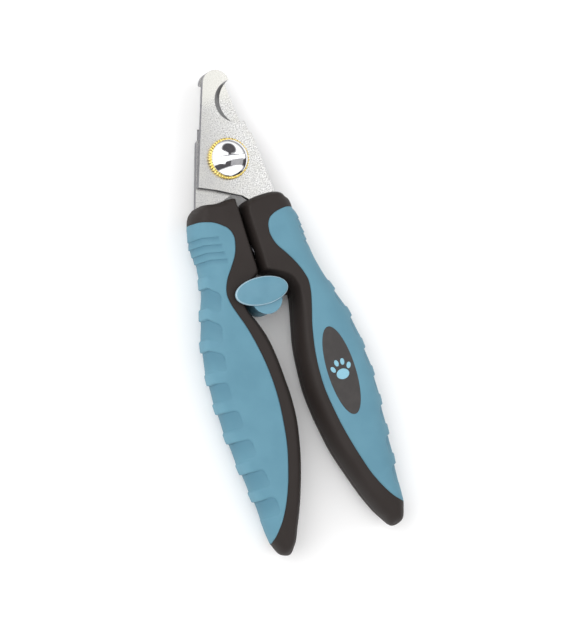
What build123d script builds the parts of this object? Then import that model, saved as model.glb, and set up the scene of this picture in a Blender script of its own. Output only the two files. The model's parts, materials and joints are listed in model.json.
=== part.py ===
from build123d import *
import os
from math import cos, radians, sin, tan

# Pet nail trimmer, drawn closed, in millimetres.
# X is across the tool, +Y runs from the handles to the blades, +Z is its front.
# It is drawn about the handles' centre line, level with the pivot, with z = 0 between the blades,
# and is moved at the end so that the origin is the middle of its box, on the surface it lies on.

# Blades
blade_thickness = 2.6
blade_gap = 0.04            # running gap between the two flat faces
blade_lean = 7.6            # degrees that the blades lean from the handles' centre line
pivot_x = 1.9               # pivot beside the handles' centre line
notch_half_width = 10.65    # pivot to the edge on the notch's side
rear_notch_half_width = 9.85
notch_taper = 11.3          # degrees
back_half_width = 10.25     # pivot to the other long edge
back_taper = 12.9
tip_center = 26.4           # centre of the rounded tip above the pivot
edge_step = 1.0             # how far the lower outer edge steps out
edge_step_top = 7.9
edge_step_run = 0.9         # length of the slope at the step's top
blade_foot = [(-5.7, -10.1), (2.8, -13.3), (4.9, -15.0), (7.5, -20.0)]  # stepped lower edge
foot_start = -8.2           # where it leaves the back edge
notch_center = (10.0, 19.5)
notch_radius = 8.65         # cutting edge
bevel_center = (6.45, 19.5)
bevel_radius = 7.5          # outer rim of the hollow bevel
bevel_overrun = 0.5         # how far its cutter goes on past each face, as a share of the thickness

# Pivot
bolt_radius = 2.95
running_clearance = 0.05
bolt_head_radius = 5.8
bolt_head_height = 2.2
rear_washer_radius = 7.0
rear_washer_thickness = 0.9
lock_washer_radius = 7.3
lock_washer_thickness = 1.3
lock_washer_teeth = 40
tooth_depth = 0.35
nut_radius = 6.4
nut_rim = 1.3
nut_dome = 2.6
dome_bulge = (0.56, 0.72)   # a point of the dome's arc, as shares of its radius and height
nut_wall = 1.1              # metal left over the bolt's end
slot_width = 1.5
slot_depth = 1.5
slot_angle = -10.3
head_round = 1.3

# Handles
closing_gap = 1.0           # between the two handles where they meet
land_height = 8.7           # flat front and back lands, from the middle
left_collar = 12.5
right_collar = 15.6
# Rows across a handle: distance below the pivot (the collar's from its top), inner edge, outer edge,
# half thickness
collar_rows = [(0.0, 1.6, 15.6, 6.4), (1.6, 0.8, 16.9, 7.8)]
left_rows = [
    (21, 0.5, 19.2, 8.7), (27, 0.5, 20.2, 9.0), (35, 0.5, 19.9, 9.0), (42, 1.4, 21.3, 9.0),
    (48, 5.2, 23.6, 9.0), (54, 6.9, 25.4, 9.0), (62, 4.2, 27.4, 9.0), (72, 2.9, 28.6, 9.0),
    (84, 2.4, 28.7, 9.0), (96, 3.5, 28.0, 9.0), (108, 6.4, 26.7, 8.8), (120, 10.8, 25.4, 8.2),
    (129, 15.0, 24.7, 6.9), (134, 18.1, 22.9, 4.6), (136.2, 19.6, 21.5, 2.6)]
right_rows = [
    (21, 0.5, 18.7, 8.7), (27, 0.5, 20.3, 9.0), (35, 0.5, 20.5, 9.0), (42, 1.4, 21.5, 9.0),
    (48, 5.8, 22.9, 9.0), (54, 8.0, 25.0, 9.0), (62, 6.4, 27.1, 9.0), (72, 4.5, 28.4, 9.0),
    (84, 3.6, 29.1, 9.0), (96, 4.2, 28.4, 9.0), (108, 6.4, 27.4, 8.8), (120, 10.4, 26.2, 8.2),
    (129, 14.2, 25.4, 6.9), (135.5, 17.6, 23.6, 4.6), (138, 19.2, 21.2, 2.6)]
outer_round = 8.4
inner_round = 3.6
inner_round_shares = (0.36, 0.8)    # most that a rounding takes of a row's width and half thickness
outer_round_shares = (0.56, 0.93)
inset_shares = (0.3, 0.4)           # the same for the form drawn in
arch_center = 48.5          # the gap behind the lock button, below the pivot
arch_half_width = 9.4
arch_half_height = 7.1

# Grips
grip_thickness = 1.8
grip_edge = [
    (16.2, 18.2), (11.1, 19.8), (7.9, 22.4), (6.4, 25.2), (6.8, 29.5), (9.5, 35), (12.8, 40),
    (14.4, 45.5), (13.8, 51), (12.0, 57), (10.0, 65), (8.8, 74), (8.4, 83), (9.2, 92), (10.9, 101),
    (13.2, 110.5), (15.9, 118.5), (19.4, 125.5), (23.4, 130), (28.5, 132.5)]
right_grip_drop = 3.2       # the right grip starts lower
drop_span = (18.0, 60.0)    # and joins the left one's line at the end of this
finger_steps = 8
finger_pitch = 10.7
first_finger = 48.5
finger_radius = 9.0
finger_depth = 0.7
thumb_ridges = 4
thumb_pitch = 2.9
first_thumb = 23.6
thumb_radius = 0.7
thumb_depth = 0.45

# Inside of the handles
shell_wall = 2.0
cavity_top = 68.0
cavity_bottom = 118.0
boss_radius = 3.0
tang_outline = [
    (7.2, 17), (9.7, 27), (9.7, 38), (14.2, 44), (16.0, 63), (17.0, 65), (20.0, 65), (20.6, 62),
    (19.0, 46), (16.9, 36), (16.2, 26), (14.6, 17)]
tang_pegs = [(12.3, 25.5), (13.4, 36.5), (18.0, 58.0)]
peg_radius = 1.4
screw_places = [(4.2, 23.5), (6.9, 94.0), (13.1, 119.0)]
screw_radius = 1.2
screw_head_radius = 1.8
screw_head_height = 1.4
screw_recess = 1.6          # head's top below the back land
screw_reach = 3.6           # screw's end above the joint between the shells
head_clearance = 0.2

# Return spring
spring_y = 33.0
spring_radius = 2.6
spring_wire = 0.8
spring_length = 16.0
spring_turns = 7
spring_clearance = 0.4

# Lock
button_x = -3.1
button_y = 46.8
button_length = 19.0
button_width = 9.7
button_tilt = -4.5
button_rise = 0.4           # underside above the front land
button_thickness = 2.4
button_round = 1.4
stem_x = -2.1
stem_y = 49.8
stem_half_width = 6.15
stem_reach = 5.4            # towards the tails
stem_top_y = 46.6
stem_top_half_width = 4.0
lock_travel = 3.0
slide_thickness = 2.4
slide_bottom = -5.5
slide_y = (50.5, 46.2)
slide_guide_x = -13.2
slide_plate_end = 5.8
finger_width = 3.0
hook_x = (10.9, 12.6)
hook_height = 1.9
catch_wall_x = 10.6
slide_clearance = 0.15
catch_clearance = 0.3
hook_swing = 1.4            # room for the hook's arc as the handles open
detent_thickness = 0.35
detent_width = 2.0
detent_inset = 0.1          # leaf shorter than its pocket

# Badge
badge_x = 15.9
badge_y = 81.0
badge_length = 31.5
badge_width = 10.2
badge_depth = 0.8
badge_proud = 0.25
motif_height = 0.2
paw_pad = (-1.3, 2.3, 1.8)  # centre and half sizes
paw_toes = [(-2.9, 1.0, 25), (-1.1, 2.8, 8), (1.1, 2.8, -8), (2.9, 1.0, -25)]  # centre and turn
toe_size = (0.75, 1.15)

hinge_open = 26.0           # degrees

far = 60.0


def prism(face, low, high):
    """Extrude a flat outline from one height to another."""
    return extrude(Pos(0, 0, low) * face, high - low)


def slab(x, y, z):
    """Box given by its low and high limits along each axis."""
    sizes = [max(pair) - min(pair) for pair in (x, y, z)]
    middles = [(pair[0] + pair[1]) / 2 for pair in (x, y, z)]
    return Pos(*middles) * Box(*sizes)


def rod(x, y, low, high, radius):
    return Pos(x, y, (low + high) / 2) * Cylinder(radius, high - low)


def edge_at(half_width, taper, y):
    """Distance from the blade's axis to a long edge at a height above the pivot."""
    return half_width - y * tan(radians(taper))


def blade_tip(notch_half):
    """Centre and radius of the tip's circle, which meets both long edges."""
    notch_cos, back_cos = cos(radians(notch_taper)), cos(radians(back_taper))
    notch_edge = edge_at(notch_half, notch_taper, tip_center)
    back_edge = edge_at(back_half_width, back_taper, tip_center)
    x = (notch_edge * notch_cos - back_edge * back_cos) / (notch_cos + back_cos)
    return x, (notch_edge - x) * notch_cos


# ---- Blades ----

def blade_head(bore_radius, notch_half):
    """Blade's head about the pivot: rounded tip, bevelled notch, stepped lower edge."""
    tip_x, tip_radius = blade_tip(notch_half)
    notch_angle, back_angle = radians(notch_taper), radians(back_taper)
    blade_end = blade_foot[-1][1]
    step_x = edge_at(notch_half, notch_taper, edge_step_top)
    outline = Polyline(
        (-edge_at(back_half_width, back_taper, foot_start), foot_start), *blade_foot,
        (edge_at(notch_half, notch_taper, blade_end) + edge_step, blade_end),
        (step_x + edge_step, edge_step_top - edge_step_run / 2),
        (step_x, edge_step_top + edge_step_run / 2),
        (tip_x + tip_radius * cos(notch_angle), tip_center + tip_radius * sin(notch_angle)),
        (tip_x - tip_radius * cos(back_angle), tip_center + tip_radius * sin(back_angle)),
        close=True)
    face = make_face(outline) + Pos(tip_x, tip_center) * Circle(tip_radius)
    low = blade_gap / 2
    head = prism(face, low, low + blade_thickness)
    rings = []
    for share in (-bevel_overrun, 1 + bevel_overrun):
        x = notch_center[0] + (bevel_center[0] - notch_center[0]) * share
        y = notch_center[1] + (bevel_center[1] - notch_center[1]) * share
        radius = notch_radius + (bevel_radius - notch_radius) * share
        rings.append(Pos(x, y, low + blade_thickness * share) * Circle(radius))
    head -= loft(rings)
    head -= rod(0, 0, -far, far, bore_radius)
    return head


def tang(side):
    """Flat strip inside a handle, with holes for the shell's pegs; side is 1 right, -1 left."""
    face = make_face(Polyline(*[(side * x, -y) for x, y in tang_outline], close=True))
    for x, y in tang_pegs:
        face -= Pos(side * x, -y) * Circle(peg_radius)
    low = blade_gap / 2 if side > 0 else -blade_gap / 2 - blade_thickness
    return prism(face, low, low + blade_thickness)


def make_blade(side):
    if side > 0:
        head = blade_head(bolt_radius + running_clearance, notch_half_width)
    else:
        head = Rot(0, 180, 0) * blade_head(bolt_radius, rear_notch_half_width)
    return Pos(pivot_x, 0, 0) * Rot(0, 0, -blade_lean) * head + tang(side)


# ---- Pivot ----

def pivot_pieces():
    stack = blade_gap / 2 + blade_thickness
    washer_top = stack + lock_washer_thickness
    nut_top = washer_top + nut_rim + nut_dome
    bolt_end = nut_top - slot_depth - nut_wall
    head_top = -stack - rear_washer_thickness

    bolt = rod(0, 0, head_top, bolt_end, bolt_radius)
    head = rod(0, 0, head_top - bolt_head_height, head_top, bolt_head_radius)
    bolt += fillet(head.edges().group_by(Axis.Z)[0], head_round)

    rear_washer = rod(0, 0, head_top, -stack, rear_washer_radius) - rod(0, 0, -far, far, bolt_radius)

    points = []
    for index in range(2 * lock_washer_teeth):
        radius = lock_washer_radius - tooth_depth * (index % 2)
        angle = radians(index * 180 / lock_washer_teeth)
        points.append((radius * cos(angle), radius * sin(angle)))
    ring = make_face(Polyline(*points, close=True)) - Circle(bolt_radius + running_clearance)
    lock_washer = prism(ring, stack + blade_gap / 2, washer_top)

    rim_top = washer_top + nut_rim
    profile = make_face(Curve() + [
        Line((0, washer_top), (nut_radius, washer_top)),
        Line((nut_radius, washer_top), (nut_radius, rim_top)),
        ThreePointArc((nut_radius, rim_top),
                      (nut_radius * dome_bulge[0], rim_top + nut_dome * dome_bulge[1]), (0, nut_top)),
        Line((0, nut_top), (0, washer_top))])
    nut = revolve(Plane.XZ * profile, Axis.Z)
    nut -= rod(0, 0, washer_top - 1, bolt_end, bolt_radius)
    slot = slab((-far, far), (-slot_width / 2, slot_width / 2), (nut_top - slot_depth, far))
    nut -= Rot(0, 0, slot_angle) * slot
    pieces = {"pivot_bolt": bolt, "rear_washer": rear_washer, "lock_washer": lock_washer, "cap_nut": nut}
    return {name: Pos(pivot_x, 0, 0) * piece for name, piece in pieces.items()}


# ---- Handles, drawn on the right and mirrored for the left ----

def handle_section(y, inner, outer, half):
    """Closed outline across a handle: softly rounded inside, fully rounded outside."""
    width = outer - inner
    small = min(inner_round, width * inner_round_shares[0], half * inner_round_shares[1])
    large = min(outer_round, width * outer_round_shares[0], half * outer_round_shares[1])
    outline = Curve() + [
        Line((inner + small, -half), (outer - large, -half)),
        CenterArc((outer - large, large - half), large, -90, 90),
        Line((outer, large - half), (outer, half - large)),
        CenterArc((outer - large, half - large), large, 0, 90),
        Line((outer - large, half), (inner + small, half)),
        CenterArc((inner + small, half - small), small, 90, 90),
        Line((inner, half - small), (inner, small - half)),
        CenterArc((inner + small, small - half), small, 180, 90)]
    return Plane((0, -y, 0), x_dir=(1, 0, 0), z_dir=(0, -1, 0)) * make_face(outline)


def handle_form(side, inner_inset=0.0, outer_inset=0.0):
    """Whole handle, or the same form drawn in from its inner and outer faces."""
    collar = right_collar if side > 0 else left_collar
    rows = [(collar + y, inner, outer, half) for y, inner, outer, half in collar_rows]
    rows += right_rows if side > 0 else left_rows
    faces = []
    for y, inner, outer, half in rows:
        thinner = min(outer_inset, (outer - inner) * inset_shares[0], half * inset_shares[1])
        faces.append(handle_section(y, inner + min(inner_inset, thinner), outer - thinner, half - thinner))
    form = loft(faces)
    land = land_height - outer_inset
    form &= slab((closing_gap / 2, far), (-far * 3, far), (-land, land))
    arch = Ellipse(arch_half_width + inner_inset, arch_half_height + inner_inset)
    return form - prism(Pos(0, -arch_center) * arch, -far, far)


def grip_zone(drop):
    """Prism over all that lies outside the line where the soft grip begins."""
    start, end = drop_span
    edge = [(x, -y - drop * max(0, (end - y) / (end - start))) for x, y in grip_edge]
    corners = [edge[-1], (far, edge[-1][1]), (far, edge[0][1]), edge[0]]
    face = make_face(Curve() + [Spline(*edge), Polyline(*corners)])
    return prism(face, -far, far)


def outer_edge(side, y):
    """Outer edge of the handle between two of its rows."""
    rows = [(row[0], row[2]) for row in (right_rows if side > 0 else left_rows)]
    for (y0, x0), (y1, x1) in zip(rows, rows[1:]):
        if y0 <= y <= y1:
            return x0 + (x1 - x0) * (y - y0) / (y1 - y0)
    return rows[-1][1]


def grip_cuts(side):
    """Finger hollows and thumb grooves along the outer side."""
    cuts = []
    for index in range(finger_steps):
        y = first_finger + index * finger_pitch
        x = outer_edge(side, y) + finger_radius - finger_depth
        cuts.append(rod(x, -y, -far, far, finger_radius))
    for index in range(thumb_ridges):
        y = first_thumb + index * thumb_pitch
        x = outer_edge(side, y) + thumb_radius - thumb_depth
        cuts.append(rod(x, -y, -far, far, thumb_radius))
    return cuts


def handle_screws():
    top = -land_height + screw_recess
    screws = []
    for x, y in screw_places:
        head = rod(x, -y, top, top + screw_head_height, screw_head_radius)
        screws.append(head + rod(x, -y, top + screw_head_height, screw_reach, screw_radius))
    return screws


def make_handle(side):
    """Front shell, rear shell, grip and screws of one handle."""
    whole = handle_form(side)
    core = handle_form(side, 0.0, grip_thickness)
    grip = (whole - core) & grip_zone(right_grip_drop if side > 0 else 0.0)
    body = whole - grip
    grip -= grip_cuts(side)
    hollow = handle_form(side, shell_wall, grip_thickness + shell_wall)
    hollow &= slab((-far, far), (-cavity_bottom, -cavity_top), (-far, far))
    for x, y in screw_places:
        hollow -= rod(x, -y, -far, far, boss_radius)
    body -= hollow
    screws = handle_screws()
    for screw in screws:
        body -= screw
    for x, y in screw_places:
        hole = screw_head_radius + head_clearance
        body -= rod(x, -y, -far, -land_height + screw_recess + screw_head_height, hole)
    pocket = spring_radius + spring_wire / 2 + spring_clearance
    reach = spring_length / 2 + running_clearance
    body -= Pos(0, -spring_y, 0) * Rot(0, 90, 0) * Cylinder(pocket, 2 * reach)
    if side < 0:
        body, grip = mirror(body, Plane.YZ), mirror(grip, Plane.YZ)
        screws = [mirror(screw, Plane.YZ) for screw in screws]
    body -= make_blade(side)
    front = body & slab((-far, far), (-far * 3, far), (0, far))
    rear = body & slab((-far, far), (-far * 3, far), (-far, 0))
    return front, rear, grip, Compound(screws)


# ---- Lock ----

def lock_guide():
    """Slot in the left rear shell that the slide's tongue runs in, with the leaf's pocket."""
    low, high = slide_bottom - slide_clearance, slide_bottom + slide_thickness + slide_clearance
    y = (-slide_y[0] - slide_clearance, -slide_y[1] + lock_travel + slide_clearance)
    slot = slab((slide_guide_x - slide_clearance, 0), y, (low, high))
    leaf_x = slide_guide_x - slide_clearance - 3 * detent_thickness
    return slot + slab((leaf_x, slide_guide_x), y, (low, high))


def lock_catch():
    """Window in the right rear shell's wall, and the room behind the wall for the hook."""
    low, high = slide_bottom - catch_clearance, slide_bottom + slide_thickness + catch_clearance
    bottom = -slide_y[0] - hook_swing
    window_top = -slide_y[0] + finger_width + lock_travel + catch_clearance
    room_top = window_top + hook_height + catch_clearance
    window = slab((0, catch_wall_x), (bottom, window_top), (low, high))
    return window + slab((catch_wall_x, hook_x[1] + catch_clearance), (bottom, room_top), (low, high))


def lock_pieces():
    top = slide_bottom + slide_thickness
    underside = land_height + button_rise
    y0, y1 = -slide_y[0], -slide_y[1]
    plate = Rectangle(hook_x[1] - slide_guide_x, finger_width, align=(Align.MIN, Align.MIN))
    outline = Pos(slide_guide_x, y0) * plate
    wide = Rectangle(slide_plate_end - slide_guide_x, y1 - y0, align=(Align.MIN, Align.MIN))
    outline += Pos(slide_guide_x, y0) * wide
    hook = Rectangle(hook_x[1] - hook_x[0], finger_width + hook_height, align=(Align.MIN, Align.MIN))
    outline += Pos(hook_x[0], y0) * hook
    slide = prism(outline, slide_bottom, top)

    lower = Pos(stem_x, -stem_y) * Ellipse(stem_half_width, stem_reach)
    lower &= Pos(stem_x, -stem_y - far / 2) * Rectangle(far, far)
    upper = make_face(Polyline(
        (stem_x - stem_half_width, -stem_y), (stem_x - stem_top_half_width, -stem_top_y),
        (stem_x + stem_top_half_width, -stem_top_y), (stem_x + stem_half_width, -stem_y), close=True))
    stem = prism(lower + upper, top, underside)
    oval = Pos(button_x, -button_y) * Rot(0, 0, button_tilt) * Ellipse(button_length / 2, button_width / 2)
    cap = prism(oval, underside, underside + button_thickness)
    cap = fillet(cap.edges().group_by(Axis.Z)[-1], button_round)
    screw_y = (y0 + y1) / 2
    screw = rod(stem_x, screw_y, slide_bottom - screw_head_height, slide_bottom, screw_head_radius)
    screw += rod(stem_x, screw_y, slide_bottom, screw_reach, screw_radius)
    leaf_x = slide_guide_x - slide_clearance - 2 * detent_thickness
    leaf_z = slide_bottom + slide_thickness / 2
    leaf = slab((leaf_x - detent_thickness / 2, leaf_x + detent_thickness / 2),
                (y0 + detent_inset, y1 + lock_travel - detent_inset),
                (leaf_z - detent_width / 2, leaf_z + detent_width / 2))
    return {"lock_button": stem + cap - screw, "lock_slide": slide - screw,
            "lock_screw": screw, "detent_spring": leaf}


# ---- Spring and badge ----

def return_spring():
    height = spring_length - spring_wire
    path = Helix(height / spring_turns, height, spring_radius)
    wire = Plane(path @ 0, z_dir=path % 0) * Circle(spring_wire / 2)
    coil = sweep(wire, path, is_frenet=True)
    return Pos(-height / 2, -spring_y, 0) * Rot(0, 90, 0) * coil


def paw_outline():
    """Plain paw print: one broad pad and four toes above it."""
    face = Pos(0, paw_pad[0]) * Ellipse(paw_pad[1], paw_pad[2])
    for x, y, tilt in paw_toes:
        face += Pos(x, y) * Rot(0, 0, tilt) * Ellipse(*toe_size)
    return face


def badge_pieces():
    place = Pos(badge_x, -badge_y)
    base = land_height + badge_proud - badge_depth
    plate = prism(place * Ellipse(badge_width / 2, badge_length / 2), base, base + badge_depth)
    motif = prism(place * paw_outline(), base + badge_depth, base + badge_depth + motif_height)
    return {"badge_plate": plate, "badge_motif": motif}


# ---- Assembly ----

def build():
    parts = {"front_blade": make_blade(1), "rear_blade": make_blade(-1)}
    parts.update(pivot_pieces())
    parts.update(lock_pieces())
    parts.update(badge_pieces())
    parts["return_spring"] = return_spring()
    for side, name in ((-1, "left"), (1, "right")):
        front, rear, grip, screws = make_handle(side)
        rear -= lock_guide() if side < 0 else lock_catch()
        if side > 0:
            grip -= parts["badge_plate"]
            front -= parts["badge_plate"]
        parts[f"{name}_front_shell"] = front
        parts[f"{name}_rear_shell"] = rear
        parts[f"{name}_grip"] = grip
        parts[f"{name}_handle_screws"] = screws
    tip_x, tip_radius = blade_tip(notch_half_width)
    lean = radians(blade_lean)
    tip_top = tip_center * cos(lean) - tip_x * sin(lean) + tip_radius
    tail = max(left_rows[-1][0], right_rows[-1][0])
    shift = Vector(0, (tail - tip_top) / 2, land_height)
    print("length", tail + tip_top, "moved by", shift)
    print("pivot", Vector(pivot_x, 0, 0) + shift, "opens", hinge_open, "degrees")
    print("lock travel", lock_travel)
    return {name: Pos(shift) * part for name, part in parts.items()}


os.makedirs("parts", exist_ok=True)
for name, part in build().items():
    export_step(part, f"parts/{name}.step")
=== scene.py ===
import bpy
import bmesh
import json
import numpy as np
from math import cos, pi, radians, sin
from mathutils import Matrix, Vector


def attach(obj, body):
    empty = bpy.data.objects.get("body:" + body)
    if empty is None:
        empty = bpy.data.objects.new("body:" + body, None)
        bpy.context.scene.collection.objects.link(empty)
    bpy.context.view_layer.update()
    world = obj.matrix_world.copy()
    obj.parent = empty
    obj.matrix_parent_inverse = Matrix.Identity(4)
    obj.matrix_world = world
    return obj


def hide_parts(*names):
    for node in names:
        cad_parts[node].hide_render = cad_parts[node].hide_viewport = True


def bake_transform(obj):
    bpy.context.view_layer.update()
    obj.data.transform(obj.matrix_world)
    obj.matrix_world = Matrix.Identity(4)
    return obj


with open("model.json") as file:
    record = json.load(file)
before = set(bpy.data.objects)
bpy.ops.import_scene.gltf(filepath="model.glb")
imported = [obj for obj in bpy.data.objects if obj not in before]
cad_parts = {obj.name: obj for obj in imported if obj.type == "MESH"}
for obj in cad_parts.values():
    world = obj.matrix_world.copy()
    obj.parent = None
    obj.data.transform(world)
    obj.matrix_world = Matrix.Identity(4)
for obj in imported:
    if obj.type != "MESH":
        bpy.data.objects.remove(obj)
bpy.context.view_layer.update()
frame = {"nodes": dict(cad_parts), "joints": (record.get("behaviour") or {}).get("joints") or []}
joints = {joint["name"]: joint for joint in frame["joints"]}
hingePoint = joints["handle_hinge"]["pos_m"]
mm = 0.001
homeY, homeZ = hingePoint[1], hingePoint[2]    # the drawing's zero: level with the pivot, between the blades
hingeX = hingePoint[0] / mm
print("frame loaded")


class Wire:
    # One value in a material, so that node maths reads as Python arithmetic
    def __init__(self, sheet, socket):
        self.sheet = sheet
        self.socket = socket

    def calc(self, operation, *values):
        return self.sheet.add("ShaderNodeMath", {"operation": operation}, dict(enumerate(values)))

    def __add__(self, other):
        return self.calc("ADD", self, other)

    def __sub__(self, other):
        return self.calc("SUBTRACT", self, other)

    def __rsub__(self, other):
        return self.calc("SUBTRACT", other, self)

    def __mul__(self, other):
        return self.calc("MULTIPLY", self, other)

    __radd__ = __add__
    __rmul__ = __mul__

    def ramp(self, low, high):
        # 0 below low, 1 above high, smooth between
        settings = {"interpolation_type": "SMOOTHSTEP"}
        return self.sheet.add("ShaderNodeMapRange", settings, {"Value": self, 1: low, 2: high})


class NodeSheet:
    # A node tree under construction: add() makes any node from its settings and its sockets' values or links
    def __init__(self, tree):
        self.tree = tree

    def add(self, kind, settings=None, sockets=None, output=0):
        node = self.tree.nodes.new(kind)
        for key, value in (settings or {}).items():
            if key == "stops":
                while len(node.color_ramp.elements) < len(value):
                    node.color_ramp.elements.new(0.5)
                for element, (position, color) in zip(node.color_ramp.elements, value):
                    element.position = position
                    element.color = color
            else:
                setattr(node, key, value)
        for key, value in (sockets or {}).items():
            self.feed(node.inputs[key], value)
        return Wire(self, node.outputs[output])

    def feed(self, socket, value):
        if isinstance(value, Wire):
            self.tree.links.new(value.socket, socket)
        else:
            socket.default_value = value

    def mix(self, share, first, second):
        settings = {"data_type": "RGBA"}
        return self.add("ShaderNodeMix", settings, {0: share, 6: first, 7: second}, output=2)


class Sheet(NodeSheet):
    def __init__(self, name, **fixed):
        self.material = bpy.data.materials.new(name)
        self.material.use_nodes = True
        super().__init__(self.material.node_tree)
        self.tree.nodes.clear()
        self.shader = self.tree.nodes.new("ShaderNodeBsdfPrincipled")
        output = self.tree.nodes.new("ShaderNodeOutputMaterial")
        self.tree.links.new(self.shader.outputs[0], output.inputs[0])
        for key, value in fixed.items():
            self.shader.inputs[key].default_value = value
        self.place = self.add("ShaderNodeTexCoord", output="Object")

    def noise(self, scale, detail=3.0, roughness=0.5, where=None):
        sockets = {"Vector": where or self.place, "Scale": scale, "Detail": detail, "Roughness": roughness}
        return self.add("ShaderNodeTexNoise", None, sockets)

    def cells(self, scale):
        return self.add("ShaderNodeTexVoronoi", None, {"Vector": self.place, "Scale": scale})

    def stretch(self, scale):
        return self.add("ShaderNodeMapping", None, {"Vector": self.place, "Scale": scale})

    def bump(self, height, strength, distance):
        sockets = {"Height": height, "Strength": strength, "Distance": distance}
        return self.add("ShaderNodeBump", None, sockets)

    def attribute(self, name):
        return self.add("ShaderNodeAttribute", {"attribute_name": name}, output="Fac")

    def axis(self, index):
        return self.add("ShaderNodeSeparateXYZ", None, {"Vector": self.place}, output=index)

    def finish(self, **links):
        for key, value in links.items():
            self.feed(self.shader.inputs[key.replace("_", " ")], value)
        return self.material


def tone(red, green, blue):
    return (red, green, blue, 1.0)


# deep is also the painted shade in the grip's hollows, pale the painted highlight on its crests
gripLook = {"blue": tone(0.115, 0.268, 0.350), "deep": tone(0.080, 0.202, 0.275),
            "pale": tone(0.152, 0.326, 0.415), "roughness": 0.6}


def gripRubber():
    # Soft moulded rubber: fine matte skin, faint clouding, darker hollows that are painted shade with a
    # little dirt, and paler crests that are painted highlight with a little wear
    sheet = Sheet("gripRubber", **{"IOR": 1.45, "Specular IOR Level": 0.35})
    cloud = sheet.noise(90, 4)
    grain = sheet.noise(2600, 2)
    relief = sheet.attribute("relief")
    color = sheet.mix(cloud.ramp(0.35, 0.7) * 0.35, gripLook["blue"], gripLook["deep"])
    # painted shade, with a little dirt: the hollows are darkened
    color = sheet.mix(relief.ramp(0.5, 0.05) * 0.8, color, gripLook["deep"])
    # painted highlight, with a little wear: the crests are paled
    color = sheet.mix(relief.ramp(0.55, 1.0) * 0.5, color, gripLook["pale"])
    rough = gripLook["roughness"] + (cloud - 0.5) * 0.14 + (grain - 0.5) * 0.1
    return sheet.finish(Base_Color=color, Roughness=rough, Normal=sheet.bump(grain, 0.22, 0.00012))


shellLook = {"dark": tone(0.022, 0.0165, 0.0145), "lift": tone(0.031, 0.025, 0.023), "roughness": 0.55}


def shellPlastic():
    # Hard plastic with a spark-eroded grain, a little lighter where hands have rubbed it
    sheet = Sheet("shellPlastic", **{"IOR": 1.45, "Specular IOR Level": 0.3})
    cloud = sheet.noise(55, 3)
    grain = sheet.cells(1900)
    color = sheet.mix(cloud.ramp(0.45, 0.75) * 0.5 + grain * 0.1, shellLook["dark"], shellLook["lift"])
    rough = shellLook["roughness"] + (cloud - 0.5) * 0.18 + grain * 0.05
    return sheet.finish(Base_Color=color, Roughness=rough, Normal=sheet.bump(grain, 0.2, 0.0001))


# light is the painted light towards +X; bright serves random patches and the painted highlight towards the
# tip
bladeLook = {"steel": tone(0.48, 0.475, 0.465), "light": tone(0.80, 0.80, 0.79),
             "shade": tone(0.37, 0.37, 0.368), "bright": tone(0.515, 0.51, 0.472),
             "roughness": 0.3, "polishFrom": 0.0165, "polishTo": 0.0240, "lightFrom": -0.008,
             "lightTo": 0.012}


def bladeSteel():
    # Bead-blasted steel: small bright and dull specks, smoother towards the tip; painted light brightens the
    # colour towards +X, and a painted highlight turns it cream towards the tip
    sheet = Sheet("bladeSteel", Metallic=1.0)
    specks = sheet.noise(2300, 2, 0.6)
    patches = sheet.noise(260, 3)
    # painted highlight: the colour turns to the bright cream tone towards the tip, which is also smoother
    towardTip = sheet.axis(1).ramp(homeY + bladeLook["polishFrom"], homeY + bladeLook["polishTo"])
    # painted light: the colour brightens from the steel tone to the light tone towards +X
    side = sheet.axis(0).ramp(bladeLook["lightFrom"], bladeLook["lightTo"])
    steel = sheet.mix(side, bladeLook["steel"], bladeLook["light"])
    color = sheet.mix(specks.ramp(0.36, 0.66), bladeLook["shade"], steel)
    color = sheet.mix(patches.ramp(0.35, 0.7) * 0.35, color, bladeLook["bright"])
    color = sheet.mix(towardTip * 0.75, color, bladeLook["bright"])
    rough = bladeLook["roughness"] + (specks - 0.5) * 0.22 - towardTip * 0.1
    bump = sheet.bump(specks * (1 - towardTip * 0.85), 0.5, 0.00010)
    return sheet.finish(Base_Color=color, Roughness=rough, Normal=bump)


def groundSteel():
    # Ground bevel of the cutting notch: darker, with fine curved grinding lines; the darker colour is painted
    # shade
    sheet = Sheet("groundSteel", Metallic=1.0)
    lines = sheet.noise(1.0, 4, 0.6, sheet.stretch((2500, 600, 9000)))
    # painted shade: the bevel's steel is coloured darker than the blade's faces
    color = sheet.mix(lines.ramp(0.3, 0.7), tone(0.13, 0.13, 0.135), tone(0.27, 0.27, 0.275))
    bump = sheet.bump(lines, 0.25, 0.00005)
    return sheet.finish(Base_Color=color, Roughness=0.3 + lines * 0.12, Normal=bump)


def edgeSteel():
    # Sawn and tumbled side faces of the blades; their dark colour is painted shade
    sheet = Sheet("edgeSteel", Metallic=1.0)
    lines = sheet.noise(1.0, 3, 0.6, sheet.stretch((900, 900, 5200)))
    # painted shade: the side faces' steel is coloured far darker than the faces
    color = sheet.mix(lines.ramp(0.35, 0.65), tone(0.10, 0.10, 0.115), tone(0.30, 0.30, 0.32))
    bump = sheet.bump(lines, 0.3, 0.00006)
    return sheet.finish(Base_Color=color, Roughness=0.34 + lines * 0.1, Normal=bump)


def plainMetal(name, dull, bright, roughness, scale=700):
    # Plated or drawn metal: faint handling haze and fine pits
    sheet = Sheet(name, Metallic=1.0)
    haze = sheet.noise(scale, 4)
    pits = sheet.noise(scale * 5, 2)
    color = sheet.mix(haze.ramp(0.35, 0.7), dull, bright)
    rough = roughness + (haze - 0.5) * roughness * 0.9
    return sheet.finish(Base_Color=color, Roughness=rough, Normal=sheet.bump(pits, 0.08, 0.00004))


# deep is also the painted shade down the stem; rim is the painted highlight on the cap's rounded side
buttonLook = {"blue": tone(0.118, 0.272, 0.358), "deep": tone(0.070, 0.190, 0.262),
              "rim": tone(0.42, 0.58, 0.66), "roughness": 0.45}


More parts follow.
